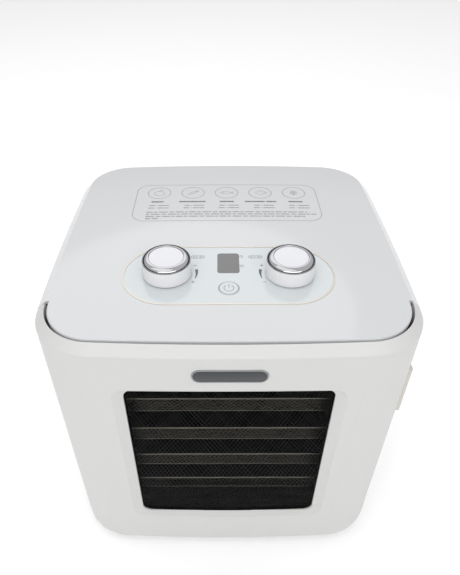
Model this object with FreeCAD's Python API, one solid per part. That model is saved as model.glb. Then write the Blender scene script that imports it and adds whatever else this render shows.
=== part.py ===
import FreeCAD, Part
import math
import os

from FreeCAD import Vector

os.makedirs("parts", exist_ok=True)

# Frame: floor plane at z = 0, origin under the middle of the body, the door faces -Y.

# driving dimensions, mm
halfWidth = 151.3
frontY = -145.0
rearY = 148.0
rimZ = 285.0
footHeight = 8.0
sideBow = 3.6
frontBow = 6.0
rearBow = 6.0
frontCorner = 50.0
rearCorner = 48.0
wall = 3.0
rimBevel = 7.5
seamY = -90.7
seamHalfGap = 0.3

# lid and control panel
lidInset = 9.8
lidWall = 2.5
lidSkirtZ = 262.0
lidCrown = 2.5
lidCrownRadius = 6660.0
lidUnderZ = 282.5
lidBaseZ = 275.5
panelFloorZ = 285.0
panelY = -58.3
panelWidth = 174.5
panelDepth = 76.6
trimWidth = 1.5
trimRise = 0.3
panelPlay = 0.05
displayY = -44.0
displayWidth = 18.2
displayDepth = 27.4
buttonY = -77.0
buttonRadius = 8.3
buttonTravel = 1.2
knobX = 50.3
knobY = -57.2
knobRadius = 20.4
knobRimZ = 13.0
knobTopZ = 17.0
knobCapRadius = 14.1
knobLift = 0.5
shaftRadius = 3.0
boardZ = 268.0
boardThick = 1.6

# drying chamber
chamberHalfX = 117.0
chamberFloorZ = 38.0
chamberTopZ = 259.0
sheet = 1.0
frameFrontY = -127.0
frameDepth = 3.0
frameLip = 7.0
mouthHalfX = 114.5
mouthTopZ = 255.0
baffleY = 84.0
housingRearY = 113.0
fanZ = 148.5
fanRadius = 68.0
trayCount = 5
trayPitch = 40.0
trayTopFloorZ = 229.0
trayHalfX = 113.5
trayFrontY = -122.0
trayRearY = 78.0
trayHeight = 17.5
traySheet = 0.9
trayRim = 3.2
dripFloorZ = 42.0
dripHeight = 13.0
ledgeThick = 1.6
runnerThick = 1.2

# door
doorBottomZ = 12.0
doorInnerY = -130.0
doorSide = 6.6
doorRimWidth = 7.7
windowHalfX = 81.6
windowTopZ = 239.5
windowBottomZ = 58.0
windowCorner = 9.0
scoopSide = 9.2
scoopTop = 2.4
scoopDepth = 3.4
glassSet = 5.0
glassThick = 3.0
hingeX = -145.9
hingeY = -94.6
hingeRadius = 3.4
pinRadius = 1.2
runningFit = 0.06
hingeZs = (23.5, 269.5)
earThick = 3.0
bracketX = -146.0
gripZs = (177.5, 230.7)
gripX = 149.8
magnetX = 131.5
badgeZ = 260.2


def box(x0, x1, y0, y1, z0, z1):
    return Part.makeBox(x1 - x0, y1 - y0, z1 - z0, Vector(x0, y0, z0))


def post(x, y, z0, z1, radius):
    return Part.makeCylinder(radius, z1 - z0, Vector(x, y, z0))


def postY(x, z, y0, y1, radius):
    return Part.makeCylinder(radius, y1 - y0, Vector(x, y0, z), Vector(0, 1, 0))


def roundedBox(x0, x1, y0, y1, z0, z1, radius):
    solid = box(x0, x1, y0, y1, z0, z1)
    upright = [e for e in solid.Edges if abs(e.tangentAt(e.FirstParameter).z) > 0.99]
    return solid.makeFillet(radius, upright)


def roundedWindow(halfX, y0, y1, z0, z1, radius):
    solid = box(-halfX, halfX, y0, y1, z0, z1)
    along = [e for e in solid.Edges if abs(e.tangentAt(e.FirstParameter).y) > 0.99]
    return solid.makeFillet(radius, along)


def stadium(width, depth, y, z0, z1):
    half = (width - depth) / 2
    middle = box(-half, half, y - depth / 2, y + depth / 2, z0, z1)
    ends = [post(x, y, z0, z1, depth / 2) for x in (-half, half)]
    return middle.fuse(ends).removeSplitter()


def union(pieces):
    return pieces[0].fuse(pieces[1:]).removeSplitter()


def bowRadius(halfChord, bow):
    return (halfChord * halfChord + bow * bow) / (2 * bow)


def cornerCentre(endCentre, endRadius, cornerRadius, towardRear):
    # the corner touches the end arc and the side arc from inside
    apart = sideCentre - endCentre
    gap = apart.Length
    r1 = endRadius - cornerRadius
    r2 = sideRadius - cornerRadius
    along = (r1 * r1 - r2 * r2 + gap * gap) / (2 * gap)
    across = math.sqrt(r1 * r1 - along * along)
    unit = apart / gap
    foot = endCentre + unit * along
    normal = Vector(-unit.y, unit.x, 0) * across
    return max((foot + normal, foot - normal), key=lambda v: v.x + towardRear * v.y)


frontRadius = bowRadius(halfWidth, frontBow)
rearRadius = bowRadius(halfWidth, rearBow)
middleY = (frontY + rearY) / 2
sideRadius = bowRadius((rearY - frontY) / 2, sideBow)
frontCentre = Vector(0, frontRadius + frontY, 0)
rearCentre = Vector(0, rearY - rearRadius, 0)
sideCentre = Vector(halfWidth - sideRadius, middleY, 0)
frontCornerCentre = cornerCentre(frontCentre, frontRadius, frontCorner, -1)
rearCornerCentre = cornerCentre(rearCentre, rearRadius, rearCorner, 1)


def mirrored(v):
    return Vector(-v.x, v.y, v.z)


def footprintWire(distance):
    # every arc keeps its centre and loses the same radius, so the outline stays tangent
    corners = []
    for centre, radius, endCentre in ((frontCornerCentre, frontCorner, frontCentre),
                                      (rearCornerCentre, rearCorner, rearCentre)):
        toEnd = (centre - endCentre).normalize()
        toSide = (centre - sideCentre).normalize()
        middle = (toEnd + toSide).normalize()
        corners.append([centre + way * (radius - distance) for way in (toEnd, middle, toSide)])
    (frontEnd, frontMid, frontSide), (rearEnd, rearMid, rearSide) = corners
    right = [(frontEnd, frontMid, frontSide),
             (frontSide, Vector(halfWidth - distance, middleY, 0), rearSide),
             (rearSide, rearMid, rearEnd)]
    arcs = [Part.Arc(mirrored(frontEnd), Vector(0, frontY + distance, 0), frontEnd)]
    arcs += [Part.Arc(*points) for points in right]
    arcs.append(Part.Arc(rearEnd, Vector(0, rearY - distance, 0), mirrored(rearEnd)))
    arcs += [Part.Arc(*[mirrored(v) for v in reversed(points)]) for points in reversed(right)]
    return Part.Wire([arc.toShape() for arc in arcs])


def inset(distance, z0, z1):
    face = Part.Face(footprintWire(distance)).translated(Vector(0, 0, z0))
    return face.extrude(Vector(0, 0, z1 - z0))


def edgesAt(shape, z):
    return [e for e in shape.Edges if all(abs(v.Z - z) < 1e-4 for v in e.Vertexes)]


def outerBlock():
    block = inset(0, footHeight, rimZ)
    block = block.makeChamfer(rimBevel, edgesAt(block, rimZ))
    block = block.makeFillet(1.8, edgesAt(block, rimZ - rimBevel))
    return block.makeFillet(3.0, edgesAt(block, footHeight))


outer = outerBlock()
big = 400.0


def crownSphere(rise):
    # its poles point away from the lid, so no seam crosses the crown
    centre = Vector(0, 0, rimZ + lidCrown + rise - lidCrownRadius)
    return Part.makeSphere(lidCrownRadius, centre, Vector(1, 0, 1))


crownBall = crownSphere(0)


def crownZ(x, y):
    return rimZ + lidCrown - (x * x + y * y) / (2 * lidCrownRadius)


# cabinet

def basePlate():
    plate = inset(wall + 0.3, footHeight, footHeight + 3.0)
    ribs = [box(x - 1.5, x + 1.5, -84.0, 100.0, footHeight + 3.0, chamberFloorZ - sheet) for x in (-100.0, 100.0)]
    plate = plate.fuse(ribs)
    slots = [box(x - 2.0, x + 2.0, 0.0, 40.0, 0, 20) for x in range(-48, 49, 12)]
    return plate.cut(slots)


def foot(x, y):
    pad = Part.makeCone(9.5, 11.5, footHeight, Vector(x, y, 0))
    low = [e for e in pad.Edges if abs(e.CenterOfMass.z) < 1e-6]
    return pad.makeFillet(1.2, low)


def rubberFeet():
    return Part.makeCompound([foot(x, y) for x in (-112.0, 112.0) for y in (-105.0, 110.0)])


def rearWall(z0, z1):
    return inset(0, z0, z1).cut(inset(wall, z0 - 1, z1 + 1)).common(box(-big, big, 100, big, z0, z1))


grilleHalfX = 58.0
grilleZs = (112.0, 196.0)
inletX = -80.0
inletZ = 38.0
inletHalfX = 14.0
inletHalfZ = 10.0


def bodyShell():
    shell = outer.cut(inset(wall, footHeight - 1, rimZ + 1))
    shell = shell.common(box(-big, big, seamY + seamHalfGap, big, 0, lidBaseZ - 0.2))
    vent = box(-grilleHalfX, grilleHalfX, 120, big, grilleZs[0], grilleZs[1])
    socket = box(inletX - inletHalfX, inletX + inletHalfX, 120, big, inletZ - inletHalfZ, inletZ + inletHalfZ)
    return shell.cut([vent, socket])


def rearGrille():
    play = 0.2
    panel = rearWall(grilleZs[0] + play, grilleZs[1] - play)
    panel = panel.common(box(-grilleHalfX + play, grilleHalfX - play, 0, big, 0, big))
    slots = []
    for row in range(9):
        z = grilleZs[0] + 10.0 + row * 8.0
        for x in (-36.0, 0.0, 36.0):
            slots.append(box(x - 14.0, x + 14.0, 120, big, z - 1.7, z + 1.7))
    return panel.cut(slots)


def seamPlate():
    y0 = seamY + seamHalfGap
    plate = inset(wall + 0.2, footHeight + 3.2, rimZ - 7.2).common(box(-big, big, y0, y0 + 2.0, 0, big))
    chamber = box(-chamberHalfX - sheet - 0.2, chamberHalfX + sheet + 0.2, -big, big,
                  chamberFloorZ - sheet - 0.2, big)
    lidSpace = inset(doorRimWidth + 0.6, lidSkirtZ - 1.5, rimZ)
    plate = plate.cut([chamber, lidSpace])
    return plate.cut([hingeEar(z) for z in hingeZs] + [magnetCatch()])


def chamberLiner():
    y0 = frameFrontY + frameDepth
    outside = box(-chamberHalfX - sheet, chamberHalfX + sheet, y0, baffleY + 2.0,
                  chamberFloorZ - sheet, chamberTopZ + sheet)
    inside = box(-chamberHalfX, chamberHalfX, y0 - 1, baffleY + 3.0, chamberFloorZ, chamberTopZ)
    return outside.cut(inside)


def frontFrame():
    lipX = chamberHalfX + frameLip
    solid = roundedBox(-lipX, lipX, frameFrontY, frameFrontY + frameDepth + 16.0,
                       chamberFloorZ - 6.0, chamberTopZ + sheet, 9.0)
    solid = solid.common(box(-big, big, frameFrontY, frameFrontY + frameDepth, 0, big))
    return solid.cut(box(-mouthHalfX, mouthHalfX, -big, big, chamberFloorZ, mouthTopZ))


def trayFloorZ(i):
    return trayTopFloorZ - i * trayPitch


def runner(side):
    x = chamberHalfX
    pieces = [box(x - runnerThick, x, trayFrontY + 2, trayRearY, chamberFloorZ + 1.0, chamberTopZ - 1.0)]
    floors = [trayFloorZ(i) for i in range(trayCount)] + [dripFloorZ]
    for z in floors:
        pieces.append(box(x - 9.0, x - runnerThick, trayFrontY + 2, trayRearY, z - ledgeThick, z - 0.1))
    panel = union(pieces)
    if side < 0:
        panel = panel.mirror(Vector(0, 0, 0), Vector(1, 0, 0))
    return panel


def rearBaffle():
    play = 0.2
    plate = box(-chamberHalfX + play, chamberHalfX - play, baffleY, baffleY + 1.5,
                chamberFloorZ + play, chamberTopZ - play)
    holes = []
    for ring in range(1, 5):
        radius = 13.0 * ring
        count = 6 * ring
        for k in range(count):
            angle = 2 * math.pi * k / count
            holes.append(postY(radius * math.cos(angle), fanZ + radius * math.sin(angle), 80, 90, 3.6))
    for x in (-98.0, -88.0, 88.0, 98.0):
        for row in range(12):
            z = fanZ - 88.0 + row * 16.0
            holes.append(box(x - 2.5, x + 2.5, 80, 90, z - 5.0, z + 5.0))
    return plate.cut(holes)


def fanHousing():
    x = chamberHalfX + sheet
    outside = box(-x, x, baffleY + 2.0, housingRearY, chamberFloorZ - sheet, chamberTopZ + sheet)
    inside = box(-chamberHalfX, chamberHalfX, 0, housingRearY - sheet, chamberFloorZ, chamberTopZ)
    return outside.cut([inside, postY(0, fanZ, 100, 120, 9.0)])


def heaterElement():
    coil = Part.makeTorus(80.0, 3.0, Vector(0, 99.0, fanZ), Vector(0, 1, 0))
    legs = [postY(x, fanZ - 78.0, 99.0, housingRearY - sheet, 2.6) for x in (-14.0, 14.0)]
    return union([coil] + legs)


def motorBracket():
    plate = box(-46.0, 46.0, housingRearY, housingRearY + 2.0, fanZ - 34.0, fanZ + 34.0)
    holes = [postY(0, fanZ, 100, 130, 9.0)]
    for x in (-39.0, 39.0):
        for z in (-27.0, 27.0):
            holes.append(postY(x, fanZ + z, 100, 130, 1.6))
    return plate.cut(holes)


def fanMotor():
    can = postY(0, fanZ, housingRearY + 2.0, housingRearY + 23.0, 27.0)
    can = can.makeFillet(2.0, [e for e in can.Edges if e.CenterOfMass.y > housingRearY + 22.0])
    return can.cut(postY(0, fanZ, 100, housingRearY + 18.0, shaftRadius + runningFit))


def motorShaft():
    return postY(0, fanZ, 89.0, housingRearY + 16.0, shaftRadius)


def fanImpeller():
    y0 = 90.0
    y1 = 106.0
    parts = [postY(0, fanZ, y1 - 1.6, y1, fanRadius), postY(0, fanZ, y0, y1, 11.0)]
    bladeCount = 12
    for k in range(bladeCount):
        blade = box(24.0, fanRadius - 1.0, y0, y1, -0.8, 0.8)
        blade.rotate(Vector(24.0, 0, 0), Vector(0, 1, 0), 28.0)
        blade.rotate(Vector(0, 0, 0), Vector(0, 1, 0), 360.0 * k / bladeCount)
        blade.translate(Vector(0, 0, fanZ))
        parts.append(blade)
    wheel = union(parts).common(postY(0, fanZ, 0, 200, fanRadius))
    return wheel.cut(postY(0, fanZ, 80, 120, shaftRadius))


def thermalCutout():
    return union([postY(62.0, fanZ + 84.0, housingRearY, housingRearY + 9.0, 8.0),
                  box(48.0, 76.0, housingRearY, housingRearY + 1.2, fanZ + 79.0, fanZ + 89.0)])


def airSensor():
    return union([postY(-62.0, fanZ + 84.0, baffleY + 6.0, housingRearY - sheet, 2.5),
                  postY(-62.0, fanZ + 84.0, housingRearY - sheet - 2.0, housingRearY - sheet, 5.0)])


def powerInlet():
    x0 = inletX - inletHalfX + 0.2
    x1 = inletX + inletHalfX - 0.2
    z0 = inletZ - inletHalfZ + 0.2
    z1 = inletZ + inletHalfZ - 0.2
    face = 146.4
    block = box(x0, x1, 120.0, face, z0, z1)
    block = block.cut(box(inletX - 11.5, inletX + 11.5, 126.0, big, inletZ - 7.5, inletZ + 7.5))
    pins = []
    for dx, dz in ((-7.0, -2.5), (7.0, -2.5), (0.0, 3.0)):
        pins.append(box(inletX + dx - 1.0, inletX + dx + 1.0, 125.0, 135.0, inletZ + dz - 2.0, inletZ + dz + 2.0))
    return union([block] + pins)


def hingeEar(z):
    z0 = z - earThick / 2
    z1 = z + earThick / 2
    ear = union([post(hingeX, hingeY, z0, z1, 2.8),
                 box(hingeX - 2.8, hingeX + 2.8, hingeY, seamY + 0.1, z0, z1),
                 box(bracketX, hingeX + 2.8, seamY, -66.0, z0, z1)])
    return ear


def hingeBrackets():
    brackets = []
    for z in hingeZs:
        plate = box(bracketX, bracketX + 1.8, seamY + 2.5, -66.0, z - 7.5, z + 7.5)
        bracket = union([hingeEar(z), plate])
        brackets.append(bracket.cut(post(hingeX, hingeY, z - 9, z + 9, pinRadius)))
    return Part.makeCompound(brackets)


def hingePin(z):
    return post(hingeX, hingeY, z - 7.0, z + 7.0, pinRadius)


def magnetCatch():
    return box(magnetX, magnetX + 10.0, seamY + seamHalfGap, -80.0, 141.0, 159.0)


# control housing

def electronicsDeck():
    plate = inset(lidInset + lidWall + 0.3, lidSkirtZ, lidSkirtZ + 2.0)
    posts = [post(x, y, lidSkirtZ + 2.0, boardZ, 3.5) for x in (-74.0, 74.0) for y in (-88.0, -30.0)]
    return union([plate] + posts)


def controlBoard():
    return box(-80.0, 80.0, -93.0, -25.0, boardZ, boardZ + boardThick)


def supplyBoard():
    top = lidSkirtZ + 2.0
    plate = box(-60.0, 60.0, 20.0, 90.0, top + 4.0, top + 5.6)
    blocks = [box(-50.0, -26.0, 30.0, 56.0, top + 5.6, top + 16.0),
              box(-12.0, 8.0, 32.0, 48.0, top + 5.6, top + 15.0),
              post(28.0, 44.0, top + 5.6, top + 16.5, 7.0)]
    legs = [post(x, y, top, top + 4.0, 3.0) for x in (-54.0, 54.0) for y in (26.0, 84.0)]
    return union([plate] + blocks + legs)


def encoder(x):
    z0 = boardZ + boardThick
    block = union([box(x - 7, x + 7, knobY - 7, knobY + 7, z0, z0 + 7.0), post(x, knobY, z0, lidUnderZ - 0.5, 4.5)])
    return block.cut(post(x, knobY, z0 + 2.0, big, shaftRadius + runningFit))


def knobShaft(x):
    return post(x, knobY, boardZ + boardThick + 2.2, crownZ(x, knobY) + 10.0, shaftRadius)


def displayModule():
    return box(-7.5, 7.5, displayY - 12.0, displayY + 12.0, boardZ + boardThick, lidUnderZ - 0.2)


def tactSwitch():
    z0 = boardZ + boardThick
    return union([box(-3.5, 3.5, buttonY - 3.5, buttonY + 3.5, z0, z0 + 3.0), post(0, buttonY, z0, z0 + 4.0, 1.8)])


def topLid():
    # narrow where the door's rim wraps round it, full width behind the seam
    narrow = inset(lidInset, lidSkirtZ, rimZ + 10).common(crownBall)
    narrow = narrow.makeFillet(1.2, [e for e in narrow.Edges if e.CenterOfMass.z > rimZ - 3])
    narrow = narrow.cut(inset(lidInset + lidWall, lidSkirtZ - 1, lidUnderZ))
    wide = inset(0, lidBaseZ, rimZ + 3.0)
    wide = wide.makeChamfer(rimBevel + 3.0, edgesAt(wide, rimZ + 3.0))
    wide = wide.common(crownBall).common(box(-big, big, seamY + seamHalfGap, big, 0, big))
    under = inset(wall, lidSkirtZ, lidUnderZ)
    under = under.makeChamfer(4.5, edgesAt(under, lidUnderZ))
    block = union([narrow, wide.cut(under)])
    cuts = [stadium(panelWidth, panelDepth, panelY, panelFloorZ, big)]
    cuts += [post(x, knobY, 200, big, 6.0) for x in (-knobX, knobX)]
    cuts.append(box(-7.7, 7.7, displayY - 12.2, displayY + 12.2, 200, big))
    cuts.append(post(0, buttonY, 200, big, buttonRadius + 0.2))
    return block.cut(cuts)


def panelTrim():
    ring = stadium(panelWidth - 2 * panelPlay, panelDepth - 2 * panelPlay, panelY, panelFloorZ, rimZ + 10)
    ring = ring.cut(stadium(panelWidth - 2 * trimWidth, panelDepth - 2 * trimWidth, panelY, 200, big))
    return ring.common(crownSphere(trimRise))


def panelInlay():
    width = panelWidth - 2 * trimWidth - 2 * panelPlay
    depth = panelDepth - 2 * trimWidth - 2 * panelPlay
    plate = stadium(width, depth, panelY, panelFloorZ, rimZ + 10)
    cuts = [post(x, knobY, 200, big, 6.0) for x in (-knobX, knobX)]
    cuts.append(displayBlock(0.1, 200, big))
    cuts.append(post(0, buttonY, 200, big, buttonRadius + 0.2))
    return plate.cut(cuts).common(crownBall)


def displayBlock(grow, z0, z1):
    halfX = displayWidth / 2 + grow
    halfY = displayDepth / 2 + grow
    return roundedBox(-halfX, halfX, displayY - halfY, displayY + halfY, z0, z1, 2.6 + grow)


def displayWindow():
    return displayBlock(0, panelFloorZ, rimZ + 10).common(crownBall)


def powerButton():
    top = crownZ(0, buttonY) + 0.5
    cap = post(0, buttonY, top - 4.2, top, buttonRadius)
    cap = cap.makeFillet(0.6, [e for e in cap.Edges if e.CenterOfMass.z > top - 0.1])
    stem = post(0, buttonY, boardZ + boardThick + 4.0 + buttonTravel + 0.1, top - 4.0, 1.8)
    return union([cap, stem])


def buttonSpring():
    low = boardZ + boardThick + 3.2
    high = crownZ(0, buttonY) + 0.5 - 4.3
    wire = 0.35
    turns = 5
    height = high - low - 2 * wire
    helix = Part.makeHelix(height / turns, height, 3.4)
    circle = Part.Wire(Part.makeCircle(wire, Vector(3.4, 0, 0), Vector(0, 1, 0)))
    coil = Part.Wire(helix).makePipeShell([circle], True, True)
    coil.translate(Vector(0, buttonY, low + wire))
    return coil


def knobBody(x):
    base = crownZ(x, knobY) + knobLift
    side = knobRimZ - knobLift
    solid = Part.makeCone(knobRadius, knobRadius - 0.7, side, Vector(x, knobY, base))
    hollow = post(x, knobY, base - 1, base + side - 5.0, knobRadius - 3.0)
    hub = post(x, knobY, base, base + side - 5.0, 5.5)
    solid = solid.cut(hollow.cut(hub))
    recess = post(x, knobY, base + side - 2.5, base + side + 1, knobCapRadius + 0.1)
    return solid.cut([recess, knobShaft(x)])


def knobRing(x):
    base = crownZ(x, knobY) + knobRimZ
    outerR = knobRadius - 0.7
    innerR = knobCapRadius + 0.1
    run = outerR - innerR - 0.4
    rise = knobTopZ - knobRimZ
    foot = Vector(outerR, 0, 0)
    shoulder = Vector(outerR, 0, 0.4)
    middle = Vector(innerR + 0.4 + run * 0.7071, 0, 0.4 + (rise - 0.4) * 0.7071)
    crest = Vector(innerR + 0.4, 0, rise)
    lines = [Part.makeLine(foot, shoulder), Part.Arc(shoulder, middle, crest).toShape(),
             Part.makeLine(crest, Vector(innerR, 0, rise)), Part.makeLine(Vector(innerR, 0, rise), Vector(innerR, 0, 0)),
             Part.makeLine(Vector(innerR, 0, 0), foot)]
    ring = Part.Face(Part.Wire(lines)).revolve(Vector(0, 0, 0), Vector(0, 0, 1), 360)
    return ring.translated(Vector(x, knobY, base))


def knobCap(x):
    base = crownZ(x, knobY) + knobRimZ
    cap = post(x, knobY, base - 2.5, base + knobTopZ - knobRimZ - 0.2, knobCapRadius)
    return cap.makeFillet(0.5, [e for e in cap.Edges if e.CenterOfMass.z > base + 3])


# door

def doorShell():
    shell = outer.common(box(-big, big, -big, seamY - seamHalfGap, doorBottomZ, big))
    side = inset(doorSide, doorBottomZ + 3.0, lidSkirtZ - 1.0)
    side = side.common(box(-big, big, doorInnerY, big, 0, big))
    lidSpace = inset(doorRimWidth, lidSkirtZ - 1.5, big)
    hollow = inset(wall, 20.0, 256.0).common(box(-big, big, -big, doorInnerY, 0, big))
    # the wall is thicker round the window, where the scoop bites into it
    hollow = hollow.cut(curvedPane(wall - 1, glassSet, windowHalfX + 8.5, windowBottomZ - 8.5, windowTopZ + 8.5))
    cuts = [side, lidSpace, hollow, windowCut(), hingeRelief(), magnetStrike()]
    shell = shell.cut(cuts)
    badgePocket = badgeBlock(0.1, frontY + 0.6, frontY - 6.0)
    shell = shell.cut([badgePocket] + hingeSlots())
    return shell.cut([post(hingeX, hingeY, z - 8.0, z + 8.0, pinRadius + 1.0) for z in hingeZs])


def windowCut():
    straight = roundedWindow(windowHalfX, frontY - 6, doorInnerY - 6, windowBottomZ, windowTopZ, windowCorner)
    # the scoop runs from the bowed face down to the window's edge
    edgeY = frontY + windowHalfX * windowHalfX / (2 * frontRadius)
    wires = []
    for y in (edgeY - scoopDepth, edgeY + scoopDepth):
        reach = (edgeY + scoopDepth - y) / scoopDepth
        halfX = windowHalfX + 0.3 + scoopSide * reach
        z0 = windowBottomZ - 0.3 - scoopTop * reach
        z1 = windowTopZ + 0.3 + scoopTop * reach
        frame = roundedWindow(halfX, y, y + 1, z0, z1, windowCorner + 0.3 + scoopTop * reach)
        face = [f for f in frame.Faces if abs(f.CenterOfMass.y - y) < 1e-6 and f.Area > 1000][0]
        wires.append(face.OuterWire)
    return union([Part.makeLoft(wires, True), straight])


def hingeRelief():
    zone = box(hingeX - 12, hingeX + 3.7, hingeY, -80, 0, big)
    return zone.cut(post(hingeX, hingeY, 0, big, hingeRadius))


def hingeSlots():
    return [box(-155, -136, hingeY - 4.2, -80, z - earThick / 2 - 0.6, z + earThick / 2 + 0.6) for z in hingeZs]


def hingeBushes():
    bushes = []
    for z in hingeZs:
        for z0 in (z - 8.0, z + earThick / 2 + 0.6):
            z1 = z0 + 8.0 - earThick / 2 - 0.6
            bush = post(hingeX, hingeY, z0, z1, pinRadius + 1.0)
            bushes.append(bush.cut(post(hingeX, hingeY, z - 9, z + 9, pinRadius + runningFit)))
    return Part.makeCompound(bushes)


def doorLiner():
    plate = inset(wall + 0.2, 20.2, 255.8).common(box(-big, big, doorInnerY - 2.0, doorInnerY, 0, big))
    return plate.cut(roundedWindow(windowHalfX + 0.5, -big, big, windowBottomZ, windowTopZ + 2, windowCorner))


def curvedPane(front, back, halfX, z0, z1):
    return inset(front, z0, z1).cut(inset(back, z0 - 1, z1 + 1)).common(box(-halfX, halfX, -big, -100, 0, big))


def windowGlass():
    return curvedPane(glassSet + 0.1, glassSet + 0.1 + glassThick, windowHalfX + 5.0, windowBottomZ - 5.0, windowTopZ + 5.0)


def windowFrame():
    z0 = windowBottomZ - 5.0
    z1 = windowTopZ + 5.0
    halfX = windowHalfX + 5.0
    ring = box(-halfX, halfX, -big, doorInnerY - 2.2, z0, z1)
    ring = ring.common(inset(glassSet + glassThick + 0.2, z0, z1))
    return ring.cut(roundedWindow(windowHalfX + 0.3, -big, big, windowBottomZ, windowTopZ, windowCorner))


def doorSeal():
    x = mouthHalfX + 4.5
    z0 = chamberFloorZ - 4.5
    z1 = mouthTopZ + 4.5
    y0 = doorInnerY
    y1 = frameFrontY - 0.4
    ring = box(-x, x, y0, y1, z0, z1).common(inset(doorSide + 0.4, z0, z1))
    return ring.cut(box(-x + 4.5, x - 4.5, -big, big, z0 + 4.5, z1 - 4.5))


def badgeBlock(grow, y0, y1):
    halfX = 21.6
    radius = 6.75 + grow
    z = badgeZ
    low = min(y0, y1)
    high = max(y0, y1)
    middle = box(-halfX, halfX, low, high, z - radius, z + radius)
    return union([middle] + [postY(x, z, low, high, radius) for x in (-halfX, halfX)])


def badgePlate():
    return badgeBlock(0, frontY - 0.5, frontY + 0.6)


def magnetStrike():
    return box(magnetX, magnetX + 14.0, -94.5, -91.2, 141.0, 159.0)


def doorGrip():
    z0, z1 = gripZs
    bar = box(140.0, gripX, -112.0, -97.0, z0, z1)
    rounded = [e for e in bar.Edges if e.CenterOfMass.x > gripX - 0.1]
    bar = bar.makeFillet(1.6, rounded)
    return bar.cut(inset(0, 0, big))


# drying trays

def trayPan(floorZ, height, sheetThick):
    z1 = floorZ + height
    offsetIn = trayRim - sheetThick
    x = trayHalfX
    pan = roundedBox(-x + offsetIn, x - offsetIn, trayFrontY + offsetIn, trayRearY - offsetIn, floorZ, z1, 10.0)
    rim = roundedBox(-x, x, trayFrontY, trayRearY, z1 - trayRim, z1, 10.0 + offsetIn)
    inside = roundedBox(-x + trayRim, x - trayRim, trayFrontY + trayRim, trayRearY - trayRim,
                        floorZ + sheetThick, big, 10.0 - sheetThick)
    return union([pan, rim]).cut(inside)


def dryingTray(i):
    z = trayFloorZ(i)
    pan = trayPan(z, trayHeight, traySheet)
    pitch = 24.0
    half = 10.0
    holes = []
    for column in range(-4, 5):
        for row in range(-3, 4):
            shift = pitch / 2 if row % 2 else 0.0
            x = column * pitch + shift
            y = (trayFrontY + trayRearY) / 2 + row * pitch
            if abs(x) > 98.0:
                continue
            points = [Vector(x - half, y, 0), Vector(x, y - half, 0), Vector(x + half, y, 0), Vector(x, y + half, 0)]
            diamond = Part.Face(Part.makePolygon(points + [points[0]]))
            holes.append(diamond.translated(Vector(0, 0, z - 1)).extrude(Vector(0, 0, 4)))
    return pan.cut(holes)


def dripTray():
    return trayPan(dripFloorZ, dripHeight, traySheet)


# fasteners

def cabinetScrews():
    screws = []
    for x in (-39.0, 39.0):
        for z in (-27.0, 27.0):
            screws.append(postY(x, fanZ + z, housingRearY + 2.0, housingRearY + 4.0, 3.0))
    for x in (-74.0, 74.0):
        for y in (-88.0, -30.0):
            screws.append(post(x, y, boardZ + boardThick, boardZ + boardThick + 1.8, 2.8))
    return Part.makeCompound(screws)


def doorScrews():
    screws = []
    for x in (-98.0, 98.0):
        for z in (60.0, 150.0, 240.0):
            screws.append(postY(x, z, doorInnerY, doorInnerY + 1.6, 3.0))
    return Part.makeCompound(screws)


def allNodes():
    nodes = {
        "base_plate": basePlate(),
        "body_shell": bodyShell(),
        "rubber_feet": rubberFeet(),
        "rear_grille": rearGrille(),
        "seam_plate": seamPlate(),
        "chamber_liner": chamberLiner(),
        "front_frame": frontFrame(),
        "left_runner": runner(-1),
        "right_runner": runner(1),
        "rear_baffle": rearBaffle(),
        "fan_housing": fanHousing(),
        "heater_element": heaterElement(),
        "motor_bracket": motorBracket(),
        "fan_motor": fanMotor(),
        "motor_shaft": motorShaft(),
        "fan_impeller": fanImpeller(),
        "thermal_cutout": thermalCutout(),
        "air_sensor": airSensor(),
        "power_inlet": powerInlet(),
        "hinge_brackets": hingeBrackets(),
        "hinge_pins": Part.makeCompound([hingePin(z) for z in hingeZs]),
        "magnet_catch": magnetCatch(),
        "electronics_deck": electronicsDeck(),
        "control_board": controlBoard(),
        "supply_board": supplyBoard(),
        "display_module": displayModule(),
        "button_switch": tactSwitch(),
        "top_lid": topLid(),
        "panel_trim": panelTrim(),
        "panel_inlay": panelInlay(),
        "display_window": displayWindow(),
        "power_button": powerButton(),
        "button_spring": buttonSpring(),
        "cabinet_screws": cabinetScrews(),
        "door_shell": doorShell(),
        "door_liner": doorLiner(),
        "window_glass": windowGlass(),
        "window_frame": windowFrame(),
        "door_seal": doorSeal(),
        "badge_plate": badgePlate(),
        "magnet_strike": magnetStrike(),
        "door_grip": doorGrip(),
        "hinge_bushes": hingeBushes(),
        "door_screws": doorScrews(),
        "drip_tray": dripTray(),
    }
    for name, x in (("left", -knobX), ("right", knobX)):
        nodes[name + "_encoder"] = encoder(x)
        nodes[name + "_knob_shaft"] = knobShaft(x)
        nodes[name + "_knob_body"] = knobBody(x)
        nodes[name + "_knob_ring"] = knobRing(x)
        nodes[name + "_knob_cap"] = knobCap(x)
    for i in range(trayCount):
        nodes["tray_" + str(i + 1)] = dryingTray(i)
    return nodes


for name, shape in allNodes().items():
    shape.exportStep("parts/" + name + ".step")
    print(name, "valid" if shape.isValid() else "NOT VALID", len(shape.Solids), round(shape.Volume / 1000, 2), "cm3")
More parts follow.
